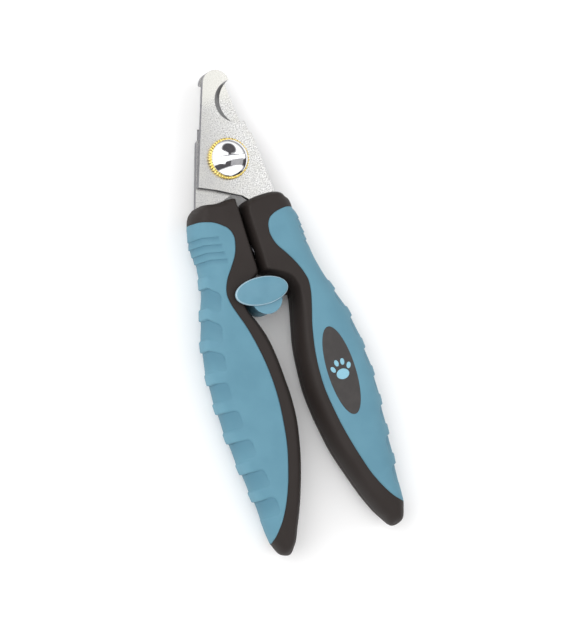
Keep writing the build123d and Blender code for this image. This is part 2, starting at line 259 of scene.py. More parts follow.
def buttonPlastic():
    # Moulded button: fine satin skin; painted shade makes it a little deeper in colour down its stem, and a
    # painted highlight pales the cap's rounded side
    sheet = Sheet("buttonPlastic", **{"IOR": 1.49, "Specular IOR Level": 0.45})
    cloud = sheet.noise(160, 3)
    grain = sheet.noise(3200, 2)
    # painted shade: the colour deepens down the stem, below the cap
    depth = sheet.axis(2).ramp(homeZ + 0.0092, homeZ + 0.004)
    color = sheet.mix(cloud.ramp(0.4, 0.75) * 0.3 + depth * 0.5, buttonLook["blue"], buttonLook["deep"])
    # painted highlight: the rows marked as rim, on the cap's rounded side, are paled
    color = sheet.mix(sheet.attribute("rim") * 0.8, color, buttonLook["rim"])
    rough = buttonLook["roughness"] + (cloud - 0.5) * 0.12
    return sheet.finish(Base_Color=color, Roughness=rough, Normal=sheet.bump(grain, 0.15, 0.00008))


def badgePlastic():
    # Dark inlay with a fine leather-like moulded grain
    sheet = Sheet("badgePlastic", **{"Specular IOR Level": 0.4})
    grain = sheet.cells(1500)
    cloud = sheet.noise(300, 3)
    color = sheet.mix(cloud.ramp(0.4, 0.7) * 0.5, tone(0.036, 0.032, 0.031), tone(0.052, 0.046, 0.044))
    bump = sheet.bump(grain, 0.15, 0.00008)
    return sheet.finish(Base_Color=color, Roughness=0.44 + cloud * 0.08, Normal=bump)


def motifPrint():
    # Printed blue motif, thin in places
    sheet = Sheet("motifPrint", **{"Specular IOR Level": 0.5})
    wear = sheet.noise(1800, 3)
    color = sheet.mix(wear.ramp(0.55, 0.8) * 0.35, tone(0.235, 0.485, 0.600), tone(0.12, 0.27, 0.34))
    return sheet.finish(Base_Color=color, Roughness=0.36 + wear * 0.1, Normal=sheet.bump(wear, 0.1, 0.00004))


def paleFloor():
    # Plain pale table with the faintest mottling
    sheet = Sheet("paleFloor", **{"Specular IOR Level": 0.15})
    cloud = sheet.noise(6, 3)
    color = sheet.mix(cloud, tone(0.955, 0.955, 0.955), tone(0.97, 0.97, 0.967))
    bump = sheet.bump(cloud, 0.02, 0.0005)
    return sheet.finish(Base_Color=color, Roughness=0.75 + cloud * 0.05, Normal=bump)


looks = {"grip": gripRubber(), "shell": shellPlastic(), "blade": bladeSteel(), "ground": groundSteel(),
         "edge": edgeSteel(), "button": buttonPlastic(), "badge": badgePlastic(), "motif": motifPrint(),
         "chrome": plainMetal("nutChrome", tone(0.74, 0.74, 0.76), tone(0.84, 0.84, 0.86), 0.07),
         "brass": plainMetal("brassRing", tone(0.66, 0.47, 0.10), tone(0.93, 0.76, 0.28), 0.2, 1500),
         "zinc": plainMetal("zincPlate", tone(0.50, 0.51, 0.53), tone(0.68, 0.69, 0.70), 0.3),
         "spring": plainMetal("springWire", tone(0.10, 0.10, 0.11), tone(0.20, 0.20, 0.21), 0.35, 1200)}
print("finishes made:", len(looks))


def toFrame(points):
    # Drawing millimetres to frame metres
    return np.asarray(points, float) * mm + np.array([0.0, homeY, homeZ])


def gridFaces(rows, columns):
    # Corner numbers of the quads of a rows x columns grid whose last column meets its first
    i, j = np.meshgrid(np.arange(rows - 1), np.arange(columns), indexing="ij")
    row, below, beside = i * columns, (i + 1) * columns, (j + 1) % columns
    return np.stack([row + j, below + j, below + beside, row + beside], -1).reshape(-1, 4)


def makePiece(name, points, faces, look, attributes=None, sharp=50):
    # Mesh from arrays; doubles at poles are merged, faces turned outwards, sharp edges kept
    mesh = bpy.data.meshes.new(name)
    mesh.from_pydata(toFrame(points).reshape(-1, 3).tolist(), [], faces.tolist())
    for key, values in (attributes or {}).items():
        layer = mesh.attributes.new(key, "FLOAT", "POINT")
        layer.data.foreach_set("value", np.asarray(values, np.float32))
    work = bmesh.new()
    work.from_mesh(mesh)
    bmesh.ops.remove_doubles(work, verts=work.verts, dist=1e-6)
    bmesh.ops.dissolve_degenerate(work, dist=5e-7, edges=work.edges)
    bmesh.ops.recalc_face_normals(work, faces=work.faces)
    work.to_mesh(mesh)
    work.free()
    mesh.shade_smooth()
    mesh.set_sharp_from_angle(angle=radians(sharp))
    mesh.materials.append(look)
    piece = bpy.data.objects.new(name, mesh)
    bpy.context.scene.collection.objects.link(piece)
    return piece


def joinPatches(patches):
    # Several (points, faces) patches as one pair
    points, faces, count = [], [], 0
    for patch, corners in patches:
        points.append(patch.reshape(-1, 3))
        faces.append(corners + count)
        count += len(points[-1])
    return np.concatenate(points), np.concatenate(faces)


def smoothRows(table, count):
    # Cubic pieces through the table's rows, slopes from the neighbouring rows, even steps of mean travel
    table = np.asarray(table, float)
    legs = np.linalg.norm(np.diff(table, axis=0).reshape(len(table) - 1, -1, 2), axis=2).mean(1)
    knots = np.concatenate([[0], np.cumsum(legs)])
    slopes = np.gradient(table, knots, axis=0)
    spots = np.linspace(0, knots[-1], count)
    k = np.clip(np.searchsorted(knots, spots, side="right") - 1, 0, len(knots) - 2)
    span = (knots[k + 1] - knots[k])[:, None]
    t = (spots - knots[k])[:, None] / span
    return ((2 * t ** 3 - 3 * t ** 2 + 1) * table[k] + (t ** 3 - 2 * t ** 2 + t) * span * slopes[k]
            + (3 * t ** 2 - 2 * t ** 3) * table[k + 1] + (t ** 3 - t ** 2) * span * slopes[k + 1])


def gapToLine(points, line):
    # Distance from each point to a line of points: the nearest foot on any stretch, kept within it
    start, run = line[:-1], np.diff(line, axis=0)
    square = np.maximum((run ** 2).sum(1), 1e-12)
    gaps = np.empty(len(points))
    for low in range(0, len(points), 4000):
        off = points[low:low + 4000, None] - start[None]
        along = np.clip((off * run).sum(2) / square, 0, 1)[..., None]
        gaps[low:low + 4000] = np.sqrt(((off - along * run) ** 2).sum(2).min(1))
    return gaps


def blendStep(values, low, high):
    # 0 at low, 1 at high: 3t^2 - 2t^3
    t = np.clip((values - low) / (high - low), 0, 1)
    return t * t * (3 - 2 * t)


# Each row of a handle's table: outer edge, line where the grip ends, inner edge; millimetres across and
# along from the pivot. The first row is the grip's top on the outer side, the last is its end at the tail.

handles = {
    "left": {"side": -1, "body": "left_half", "cornerRow": 2, "drop": 0.0, "thumbReach": 14.5, "shorter": 0.0,
             "rows": [
        (18.4, -18.0, 18.4, -18.0, 18.4, -18.0), (18.8, -19.2, 16.4, -18.1, 17.4, -15.7),
        (19.1, -20.5, 14.0, -18.8, 15.6, -13.7), (19.5, -22.0, 11.7, -19.6, 12.1, -12.8),
        (20.0, -23.7, 9.1, -21.3, 6.9, -13.5), (20.3, -25.3, 7.1, -23.2, 2.3, -13.3),
        (20.4, -26.1, 6.5, -24.3, 0.75, -13.6), (20.3, -27.0, 6.2, -25.5, 0.5, -15.6),
        (20.1, -30.0, 6.6, -29.2, 0.5, -24.0), (19.8, -33.5, 8.1, -32.8, 0.5, -32.5),
        (20.2, -37.0, 10.5, -36.2, 0.5, -38.4), (21.0, -40.5, 12.9, -39.4, 1.2, -41.0),
        (21.7, -43.0, 14.2, -42.0, 3.7, -42.7), (22.6, -45.6, 14.8, -44.8, 7.2, -45.2),
        (23.6, -48.6, 14.4, -48.0, 8.6, -48.8), (24.6, -51.6, 13.4, -51.4, 8.1, -51.8),
        (26.0, -56.0, 11.8, -56.2, 6.1, -56.0), (27.3, -62.0, 10.3, -62.4, 4.1, -62.0),
        (28.2, -69.0, 9.1, -69.5, 3.0, -69.0), (28.6, -77.0, 8.5, -77.0, 2.5, -77.0),
        (28.5, -85.0, 8.6, -84.8, 2.3, -84.5), (28.1, -93.0, 9.4, -92.3, 2.8, -92.0),
        (27.4, -100.5, 10.6, -99.6, 4.2, -99.5), (26.6, -107.5, 12.5, -106.5, 6.1, -106.8),
        (25.8, -114.0, 14.7, -113.0, 8.5, -114.0), (25.3, -119.5, 17.1, -118.5, 11.0, -120.6),
        (25.1, -123.8, 19.7, -123.2, 13.9, -127.1), (24.9, -126.9, 22.1, -126.6, 17.0, -133.3),
        (24.7, -128.5, 23.5, -128.6, 19.7, -135.9), (24.6, -129.3, 24.1, -129.4, 22.3, -134.8),
        (24.5, -130.3, 24.5, -130.3, 24.5, -130.3)],
        "stepTops": [-40.4, -50.6, -61.0, -72.4, -82.7, -93.4, -104.8, -115.0]},
    "right": {"side": 1, "body": "right_half", "cornerRow": 2, "drop": 3.0, "thumbReach": 7.5, "shorter": 3.2,
              "rows": [
        (18.9, -22.6, 18.9, -22.6, 18.9, -22.6), (19.4, -23.6, 17.2, -22.0, 18.8, -20.4),
        (19.8, -24.7, 15.0, -21.7, 17.6, -17.5), (20.1, -25.8, 12.5, -21.9, 14.4, -15.4),
        (20.3, -27.0, 10.0, -22.5, 9.3, -14.9), (20.3, -28.3, 7.9, -23.8, 4.4, -15.4),
        (20.35, -29.1, 6.9, -25.4, 1.7, -16.6), (20.4, -30.1, 6.5, -27.3, 0.6, -19.4),
        (20.5, -32.2, 6.6, -30.2, 0.5, -27.0), (20.5, -34.8, 7.8, -33.6, 0.5, -34.0),
        (20.6, -37.0, 9.5, -36.2, 0.5, -38.4), (21.0, -40.5, 11.4, -39.4, 1.1, -41.0),
        (21.5, -43.0, 12.7, -42.0, 4.3, -42.7), (22.1, -45.6, 13.8, -44.8, 8.1, -45.2),
        (22.9, -48.6, 14.5, -48.0, 9.5, -48.8), (24.0, -51.6, 14.2, -51.4, 9.2, -51.8),
        (25.4, -56.0, 13.0, -56.2, 8.1, -56.0), (27.1, -62.0, 11.1, -62.4, 6.4, -62.0),
        (28.1, -69.0, 9.5, -69.5, 4.8, -69.0), (28.8, -77.0, 8.5, -77.0, 3.9, -77.0),
        (29.1, -85.0, 8.3, -84.8, 3.5, -84.5), (28.7, -93.0, 9.1, -92.3, 4.0, -92.0),
        (28.0, -100.5, 10.3, -99.6, 5.0, -99.5), (27.4, -107.5, 11.9, -106.5, 6.3, -106.8),
        (26.8, -114.0, 13.7, -113.0, 8.3, -113.8), (26.2, -119.5, 15.6, -118.5, 10.4, -120.5),
        (25.7, -124.0, 18.0, -123.3, 12.8, -127.3), (25.5, -127.5, 20.9, -127.6, 16.0, -133.8),
        (25.4, -129.5, 23.3, -129.8, 19.4, -137.8), (25.3, -130.6, 24.6, -130.8, 23.0, -136.6),
        (25.1, -131.6, 25.1, -131.6, 25.1, -131.6)],
        "stepTops": [-54.0, -64.4, -76.3, -86.4, -96.8, -107.3, -117.6]}}
handleForm = {
    "rows": 600, "innerColumns": 24, "gripColumns": 56, "tailRow": -3,
    "height": [(-138.5, 4.6), (-133, 6.0), (-128, 7.1), (-120, 8.2), (-112, 8.65), (-104, 8.7), (-19, 8.7),
               (-12, 8.2)],
    "outerRound": [(-137.5, 3.0), (-128, 5.5), (-118, 7.6), (-104, 8.4), (-26, 8.2), (-18, 5.6), (-12, 3.2)],
    "innerRound": [(-138.5, 2.6), (-130, 3.0), (-116, 3.6), (-80, 3.8), (-60, 3.4), (-51, 2.0), (-41, 1.6),
                   (-36, 2.0), (-20, 1.8), (-15, 1.6)],
    "gripProud": 0.3, "gripLip": 0.55, "lipDrop": 0.15, "gripThickness": 1.5, "gripNarrow": 12,
    "underColumns": 14, "bedDepth": 1.7, "bedNarrow": 6, "bedColumns": 12, "thinnest": 0.02,
    "seam": 0.15, "seamRise": 0.3, "innerLeast": 0.45, "reliefEdge": (0.6, 2.2)}


def tableValue(pairs, y):
    # Straight lines between (y, value) pairs
    return np.interp(y, [pair[0] for pair in pairs], [pair[1] for pair in pairs])


def acrossFace(edge, target, radius, count):
    # Plan points from an edge towards a target, evenly spaced over the round-over:
    # inward = radius (1 - cos(t / radius)) up to the radius, then straight on
    run = target - edge
    length = np.maximum(np.linalg.norm(run, axis=1), 1e-9)
    bend = radius * pi / 2
    full = np.where(length > radius, bend + length - radius,
                    radius * np.arccos(np.clip(1 - length / radius, -1, 1)))
    t = np.linspace(0, 1, count)[None] * full[:, None]
    r = radius[:, None]
    inward = np.where(t < r * pi / 2, r * (1 - np.cos(t / r)), t - r * pi / 2 + r)
    return edge[:, None] + run[:, None] * (inward / length[:, None])[..., None]


def roundOver(gap, radius):
    # Quarter circle: 0 at the edge, 1 from the radius inwards
    return np.sqrt(1 - (1 - np.clip(gap / radius, 0, 1)) ** 2)


def handleFace(handle):
    # Front face of a handle as a grid from the inner edge over the grip's line to the outer edge, with its
    # normals: z = half thickness x round-over from the outer side x round-over from the inner side
    form = handleForm
    table = handle["rows"]
    lines = smoothRows(table, form["rows"])
    lines[:, 4] = np.maximum(lines[:, 4], form["innerLeast"])
    outer, seam, inner = lines[:, 0:2], lines[:, 2:4], lines[:, 4:6]
    legs = np.linalg.norm(np.diff(np.asarray(table), axis=0).reshape(len(table) - 1, -1, 2), axis=2).mean(1)
    share = np.concatenate([[0], np.cumsum(legs)]) / legs.sum()
    corner = int(share[handle["cornerRow"]] * (form["rows"] - 1))
    tail = int(share[form["tailRow"]] * (form["rows"] - 1))
    outerLine = np.concatenate([inner[corner:0:-1], outer, inner[:tail - 1:-1]])
    innerLine = inner[corner:tail + 1]
    inside = acrossFace(inner, seam, tableValue(form["innerRound"], inner[:, 1]), form["innerColumns"])
    outside = acrossFace(outer, seam, tableValue(form["outerRound"], outer[:, 1]), form["gripColumns"])
    plan = np.concatenate([inside, outside[:, ::-1][:, 1:]], axis=1)
    flat = plan.reshape(-1, 2)
    z = tableValue(form["height"], flat[:, 1])
    z = z * roundOver(gapToLine(flat, outerLine), tableValue(form["outerRound"], flat[:, 1]))
    z = z * roundOver(gapToLine(flat, innerLine), tableValue(form["innerRound"], flat[:, 1]))
    face = np.concatenate([plan, z.reshape(plan.shape[:2])[..., None]], axis=2)
    face[:, 0, 2] = 0
    face[:, -1, 2] = 0
    normal = np.cross(np.gradient(face, axis=0), np.gradient(face, axis=1))
    normal[:, -1, 2] = 0
    normal /= np.maximum(np.linalg.norm(normal, axis=2), 1e-9)[..., None]
    normal[0], normal[-1] = normal[1], normal[-2]
    return face, normal


def shellMesh(face, normal):
    # Closed half shell: seam edge, dark face, step down at the grip's line, bed under the grip, flat joint
    form = handleForm
    seamColumn = form["innerColumns"] - 1
    dark = face[:, :seamColumn + 1].copy()
    inwardX = (face[:, 3, :2] - face[:, 0, :2])
    inwardX /= np.maximum(np.linalg.norm(inwardX, axis=1), 1e-9)[:, None]
    dark[:, 0, :2] += inwardX * form["seam"]
    rise = form["seam"] * form["seamRise"]
    dark[:, 0, 2] = rise
    dark[:, 1:, 2] *= 1 - form["gripProud"] / form["height"][-2][1]
    width = np.linalg.norm(face[:, -1, :2] - face[:, seamColumn, :2], axis=1)
    depth = (form["bedDepth"] * np.clip(width / form["bedNarrow"], form["thinnest"], 1))[:, None, None]
    bedColumns = np.linspace(seamColumn, face.shape[1] - 1, form["bedColumns"]).astype(int)
    bed = face[:, bedColumns] - normal[:, bedColumns] * depth
    bed[:, :, 2] = np.maximum(bed[:, :, 2], rise)
    bed[:, -1, 2] = rise
    joint = [bed[:, -1] + (dark[:, 0] - bed[:, -1]) * share for share in (0.33, 0.67)]
    return np.concatenate([dark, bed, np.stack(joint, axis=1)], axis=1)


fingerSteps = {"slant": [0.62, 0.6, 0.45, 0.15, 0.08, 0.05, 0.0, -0.03, 0.0],
               "reach": [10.3, 10.6, 10.4, 9.6, 10.2, 10.8, 10.8, 10.4, 8.5],
               "length": 6.4, "corner": 1.6, "depth": 0.34, "edge": 0.2, "bump": 0.44, "bumpLength": 3.4,
               "bumpRise": 0.9, "bumpFade": (1, 6), "groove": 0.22, "grooveWidth": 0.24, "slantFrom": 5,
               "fade": 1.3}
thumbRidges = {"tops": [-23.4, -26.1, -28.8, -31.4], "slant": 0.22, "slantFrom": 8, "length": 2.5,
               "depth": 0.42, "edge": 0.22, "endFade": 0.8}


def gripRelief(plan, across, handle):
    # Height added to the grip: stepped thumb ridges and recessed finger steps, each deepest at its top edge
    # and fading towards the tail, with a swell just above each finger step
    relief = np.zeros(across.shape)
    wrap = np.abs(across)
    y = plan[..., 1]
    steps = fingerSteps
    for top, slant, reach in zip(handle["stepTops"], steps["slant"], steps["reach"]):
        below = top - slant * np.maximum(wrap - steps["slantFrom"], 0) - y
        half = steps["length"] / 2
        outX = np.maximum(wrap - (reach - handle["shorter"] - steps["corner"]), 0)
        outY = np.maximum(np.abs(below - half) - (half - steps["corner"]), 0)
        outside = np.hypot(outX, outY) - steps["corner"]
        fade = np.clip(steps["fade"] - below / steps["length"], 0, 1)
        relief -= steps["depth"] * fade * blendStep(-outside, 0, steps["edge"])
        relief -= steps["groove"] * fade * np.exp(-(outside / steps["grooveWidth"]) ** 2)
        rise = blendStep(below + steps["bumpLength"] + steps["bumpRise"], 0, steps["bumpRise"])
        swell = rise * blendStep(-below, -0.1, 0.25)
        gap, span = steps["bumpFade"]
        relief += steps["bump"] * swell * blendStep(reach - handle["shorter"] - gap - wrap, 0, span)
    ridges = thumbRidges
    for top in ridges["tops"]:
        below = top - handle["drop"] - ridges["slant"] * np.maximum(wrap - ridges["slantFrom"], 0) - y
        fade = np.clip(1 - below / ridges["length"], 0, 1) * blendStep(below, 0, ridges["edge"])
        relief -= ridges["depth"] * fade * blendStep(handle["thumbReach"] - wrap, 0, ridges["endFade"])
    return relief


def gripMesh(face, normal, handle):
    # Closed rubber skin: the outer face from the back line round the side to the front line, raised by the
    # lip and the relief, and an inner face drawn in by the thickness
    form = handleForm
    seamColumn = form["innerColumns"] - 1
    front, frontNormal = face[:, seamColumn:], normal[:, seamColumn:]
    flip = np.array([1, 1, -1])
    skin = np.concatenate([front * flip, front[:, ::-1][:, 1:]], axis=1)
    lean = np.concatenate([frontNormal * flip, frontNormal[:, ::-1][:, 1:]], axis=1)
    middle = form["gripColumns"] - 1
    legs = np.linalg.norm(np.diff(skin, axis=1), axis=2)
    along = np.concatenate([np.zeros((len(skin), 1)), np.cumsum(legs, axis=1)], axis=1)
    across = along - along[:, middle:middle + 1]
    fromEdge = np.minimum(along, along[:, -1:] - along)
    lip = (roundOver(fromEdge, form["gripLip"]) - 1) * (form["gripProud"] + form["lipDrop"])
    relief = gripRelief(skin, across, handle) * blendStep(fromEdge, *form["reliefEdge"])
    top = skin + lean * (lip + relief)[..., None]
    share = np.clip(along[:, -1] / form["gripNarrow"], form["thinnest"], 1)
    depth = (form["gripThickness"] * share)[:, None, None]
    back = np.linspace(skin.shape[1] - 1, 0, form["underColumns"]).astype(int)
    under = skin[:, back] - lean[:, back] * depth
    # level hands the relief to the grip's material, which paints shade into hollows and highlight onto crests
    level = np.concatenate([0.5 + relief, np.full(under.shape[:2], 0.5)], axis=1)
    return np.concatenate([top, under], axis=1), level


def cylinderCutter(center, radius, low, high, turn=None, sides=48):
    # Closed drum along Z, or along X where turn says so
    angle = np.linspace(0, 2 * pi, sides, endpoint=False)
    rings = [(0.0, low), (radius, low), (radius, high), (0.0, high)]
    points = np.array([[(r * np.cos(angle)), (r * np.sin(angle)), np.full(sides, z)] for r, z in rings])
    points = points.transpose(0, 2, 1)
    if turn == "x":
        points = points[..., [2, 1, 0]]
    return points + np.array(center), gridFaces(4, sides)


def boxCutter(low, high):
    # Closed box as a 4-ring drum
    x0, y0, z0 = low
    x1, y1, z1 = high
    middle = [(x0 + x1) / 2, (y0 + y1) / 2]
    square = [(x0, y0), (x1, y0), (x1, y1), (x0, y1)]
    rings = [[(*middle, z0)] * 4, [(x, y, z0) for x, y in square], [(x, y, z1) for x, y in square],
             [(*middle, z1)] * 4]
    return np.array(rings, float), gridFaces(4, 4)


def carve(piece, cutters):
    # Takes each cutter out of the piece, then keeps the result as its mesh
    for points, faces in cutters:
        tool = makePiece("cutter", points, faces, looks["shell"])
        cut = piece.modifiers.new("cut", "BOOLEAN")
        cut.operation = "DIFFERENCE"
        cut.solver = "EXACT"
        cut.object = tool
        bpy.context.view_layer.update()
        carved = bpy.data.meshes.new_from_object(piece.evaluated_get(bpy.context.evaluated_depsgraph_get()))
        piece.modifiers.clear()
        piece.data = carved
        bpy.data.objects.remove(tool)
    piece.data.shade_smooth()
    piece.data.set_sharp_from_angle(angle=radians(40))


shellHoles = {"screws": [(4.2, -23.5), (6.9, -94.0), (13.1, -119.0)], "screwRadius": 2.05,
              "screwBottom": -5.6, "springY": -33.0, "springRadius": 3.35, "springReach": 8.05,
              "lockSlot": [((-14.4, -50.7, -5.7), (-2, -43.0, -2.9))],
              "lockWindow": [((2, -51.9, -5.8), (10.6, -44.2, -2.8)), ((2, -45.0, -5.8), (6.2, -42.9, -2.8)),
                             ((10.5, -51.9, -5.8), (12.9, -41.9, -2.8))]}


def shellCutters(handle, front):
    # Spring pocket in every half; screw recesses and the lock's slot or window in the back halves
    side = handle["side"]
    holes = shellHoles
    reach = holes["springReach"]
    cutters = [cylinderCutter((0, holes["springY"], 0), holes["springRadius"], -reach, reach, "x")]
    if front:
        return cutters
    for x, y in holes["screws"]:
        cutters.append(cylinderCutter((side * x, y, 0), holes["screwRadius"], -12, holes["screwBottom"]))
    boxes = holes["lockSlot"] if side < 0 else holes["lockWindow"]
    return cutters + [boxCutter(low, high) for low, high in boxes]


for handName, handle in handles.items():
    face, normal = handleFace(handle)
    mirror = np.array([handle["side"], 1, 1])
    shell = shellMesh(face, normal) * mirror
    for half, up in (("front", 1), ("rear", -1)):
        nodeName = f"{handName}_{half}_shell"
        points = shell * np.array([1, 1, up])
        faces = gridFaces(*points.shape[:2])
        piece = makePiece(nodeName + "_form", points.reshape(-1, 3), faces, looks["shell"])
        carve(piece, shellCutters(handle, up > 0))
        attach(piece, handle["body"])
        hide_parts(nodeName)
    skin, level = gripMesh(face, normal, handle)
    faces = gridFaces(*skin.shape[:2])
    piece = makePiece(handName + "_grip_form", (skin * mirror).reshape(-1, 3), faces, looks["grip"],
                      {"relief": level.reshape(-1)})
    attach(piece, handle["body"])
    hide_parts(handName + "_grip")
print("handles made")


def softened(node, look, width, sideLook=None, coneLook=None):
    # Merged copy of a CAD node with eased edges; side walls and sloping faces may have their own finish
    mesh = frame["nodes"][node].data.copy()
    work = bmesh.new()
    work.from_mesh(mesh)
    bmesh.ops.remove_doubles(work, verts=work.verts, dist=2e-6)
    bmesh.ops.dissolve_limit(work, angle_limit=radians(0.3), verts=work.verts, edges=work.edges)
    work.to_mesh(mesh)
    work.free()
    mesh.materials.clear()
    for each in (look, sideLook or look, coneLook or look):
        mesh.materials.append(each)
    slope = np.zeros(len(mesh.polygons) * 3)
    mesh.polygons.foreach_get("normal", slope)
    slope = np.abs(slope[2::3])
    finish = np.where(slope > 0.97, 0, np.where(slope < 0.1, 1, 2)).astype(np.int32)
    mesh.polygons.foreach_set("material_index", finish)
    mesh.shade_smooth()
    mesh.set_sharp_from_angle(angle=radians(12))
    piece = bpy.data.objects.new(node + "_form", mesh)
    bpy.context.scene.collection.objects.link(piece)
    ease = piece.modifiers.new("ease", "BEVEL")
    ease.width = width * mm
    ease.segments = 2
    ease.limit_method = "ANGLE"
    ease.angle_limit = radians(25)
    ease.harden_normals = True
    ease.use_clamp_overlap = True
    return piece


def place(piece, body, node, slotName):
    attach(piece, body)
    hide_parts(node)


bladeEase = {"width": 0.14}
# side walls take edgeSteel and the notch bevel groundSteel, both darkened as painted shade
for node, body in (("front_blade", "right_half"), ("rear_blade", "left_half")):
    place(softened(node, looks["blade"], bladeEase["width"], looks["edge"], looks["ground"]),
          body, node, "blade_steel")
place(softened("lock_slide", looks["shell"], 0.15), "lock", "lock_slide", "dark_shell")
place(softened("detent_spring", looks["spring"], 0.05), "left_half", "detent_spring", "spring_steel")
print("blades made")


def turnedPatch(profile, center=(0, 0), sides=96, wave=None):
    # Rings of (radius, height) about a centre; wave changes the radii with the angle
    angle = np.linspace(0, 2 * pi, sides, endpoint=False)
    radius = np.array([pair[0] for pair in profile], float)[:, None] * np.ones(sides)
    height = np.array([pair[1] for pair in profile], float)[:, None] * np.ones(sides)
    if wave:
        radius, height = wave(radius, height, angle)
    x, y = center[0] + radius * np.cos(angle), center[1] + radius * np.sin(angle)
    return np.stack([x, y, height], axis=2), gridFaces(len(profile), sides)


def eased(corners, radius, steps=4):
    # Open (radius, height) path with each inner corner turned into a short curve: a quadratic through the
    # points a radius before and after the corner
    corners = np.asarray(corners, float)
    path = [corners[0]]
    for before, corner, after in zip(corners, corners[1:], corners[2:]):
        start = corner + (before - corner) * min(radius / np.linalg.norm(before - corner), 0.45)
        end = corner + (after - corner) * min(radius / np.linalg.norm(after - corner), 0.45)
        for t in np.linspace(0, 1, steps):
            path.append((1 - t) ** 2 * start + 2 * t * (1 - t) * corner + t * t * end)
    return [tuple(point) for point in path + [corners[-1]]]


pivot = {"washerLow": 2.64, "washerTop": 3.92, "washerRadius": 7.3, "teeth": 44, "tooth": 0.36, "bead": 0.16,
         "nutRadius": 6.4, "domeTop": 7.82, "domeRadius": 9.18, "slotHalf": 0.76,
         "slotFloor": 6.32, "slotTurn": -10.3, "slotEase": 0.12, "rimEase": 0.18,
         "beadRadius": 6.72, "beadWidth": 0.16, "rearRadius": 7.0, "rearBore": 2.95, "bladeBack": -2.62,
         "headTop": -3.52, "headBottom": -5.72, "headRadius": 5.8, "shank": 2.93, "shankTop": 3.9,
         "hex": 2.6, "hexDepth": 1.5}


def capNut():
    # Domed nut as rows parallel to its slot: u = s sqrt(R^2 - v^2), height of a sphere eased at the rim,
    # lowered to the flat floor where |v| is under half the slot's width
    form = pivot
    big = form["nutRadius"]
    fine = form["slotHalf"] + form["slotEase"] * np.linspace(-1, 1, 9)
    v = np.unique(np.concatenate([big * np.sin(np.linspace(-pi / 2, pi / 2, 71)), fine, -fine]))
    besideWall = np.abs(np.abs(v) - form["slotHalf"]) <= form["slotEase"]
    v = v[~besideWall | np.isin(v, np.concatenate([fine, -fine]))]
    s = np.sin(np.linspace(-pi / 2, pi / 2, 81))
    v, s = v[:, None], s[None]
    u = s * np.sqrt(np.maximum(big ** 2 - v ** 2, 0))
    r = np.hypot(u, v + 0 * s)
    ball = form["domeRadius"]
    dome = form["domeTop"] - ball + np.sqrt(ball ** 2 - r ** 2)
    over = np.clip((r - big + form["rimEase"]) / form["rimEase"], 0, 1)
    dome = dome - form["rimEase"] * (1 - np.sqrt(1 - over ** 2))
    wall = blendStep(np.abs(v + 0 * s), form["slotHalf"] - form["slotEase"],
                     form["slotHalf"] + form["slotEase"])
    z = np.where(dome > form["slotFloor"], form["slotFloor"] + (dome - form["slotFloor"]) * wall, dome)
    top = np.stack([u, v + 0 * s, z], axis=2)
    bottom = np.stack([u, v + 0 * s, 0 * z + form["washerTop"]], axis=2)[:, ::-1]
    points = np.concatenate([top, bottom], axis=1)
    turn = radians(form["slotTurn"])
    x = points[..., 0] * cos(turn) - points[..., 1] * sin(turn)
    y = points[..., 0] * sin(turn) + points[..., 1] * cos(turn)
    points = np.stack([x + hingeX, y, points[..., 2]], axis=2)
    return makePiece("cap_nut_form", points, gridFaces(*points.shape[:2]), looks["chrome"],
                     sharp=35)


def washerWave(radius, height, angle):
    # Saw teeth round the rim, a row of beads just inside them
    form = pivot
    saw = np.abs(((angle * form["teeth"] / (2 * pi)) % 1) * 2 - 1)
    outside = blendStep(radius, form["washerRadius"] - 0.5, form["washerRadius"] - 0.05)
    ring = np.exp(-((radius - form["beadRadius"]) / form["beadWidth"]) ** 2)
    ring = ring * (height > form["washerTop"] - 0.3)
    beads = np.sin(angle * form["teeth"] / 2) ** 2 * ring
    return radius - form["tooth"] * saw * outside, height + (beads - 0.35 * ring) * form["bead"]


def addPivot():
    form = pivot
    place(capNut(), "left_half", "cap_nut", "nut_chrome")
    low, top, rim = form["washerLow"], form["washerTop"], form["washerRadius"]
    across = [(radius, top) for radius in (6.45, 6.55, 6.63, 6.72, 6.81, 6.9, 7.0)]
    section = [(3.0, low), *eased([(3.2, low), (rim, low), (rim, top), (6.9, top)], 0.16),
               *across[::-1], (6.3, top), (3.0, top)]
    points, faces = turnedPatch(section + [section[0]], (hingeX, 0), form["teeth"] * 12, washerWave)
    place(makePiece("lock_washer_form", points, faces, looks["brass"], sharp=40), "left_half", "lock_washer",
          "brass_ring")
    back, bore, wide = form["headTop"], form["rearBore"], form["rearRadius"]
    section = eased([(bore, back), (wide, back), (wide, form["bladeBack"]), (bore, form["bladeBack"])], 0.15)
    points, faces = turnedPatch(section + [section[0]], (hingeX, 0), 128)
    washer = makePiece("rear_washer_form", points, faces, looks["zinc"])
    place(washer, "left_half", "rear_washer", "zinc_steel")
    section = eased([(0, form["headBottom"]), (form["headRadius"] - 1.1, form["headBottom"]),
                     (form["headRadius"], form["headBottom"] + 1.2), (form["headRadius"], back),
                     (form["shank"], back), (form["shank"], form["shankTop"]), (0, form["shankTop"])], 0.7, 6)
    points, faces = turnedPatch(section, (hingeX, 0), 128)
    bolt = makePiece("pivot_bolt_form", points, faces, looks["zinc"])
    carve(bolt, [cylinderCutter((hingeX, 0, 0), form["hex"], -8, form["headBottom"] + form["hexDepth"],
                                sides=6)])
    place(bolt, "left_half", "pivot_bolt", "zinc_steel")


addPivot()
print("pivot made")


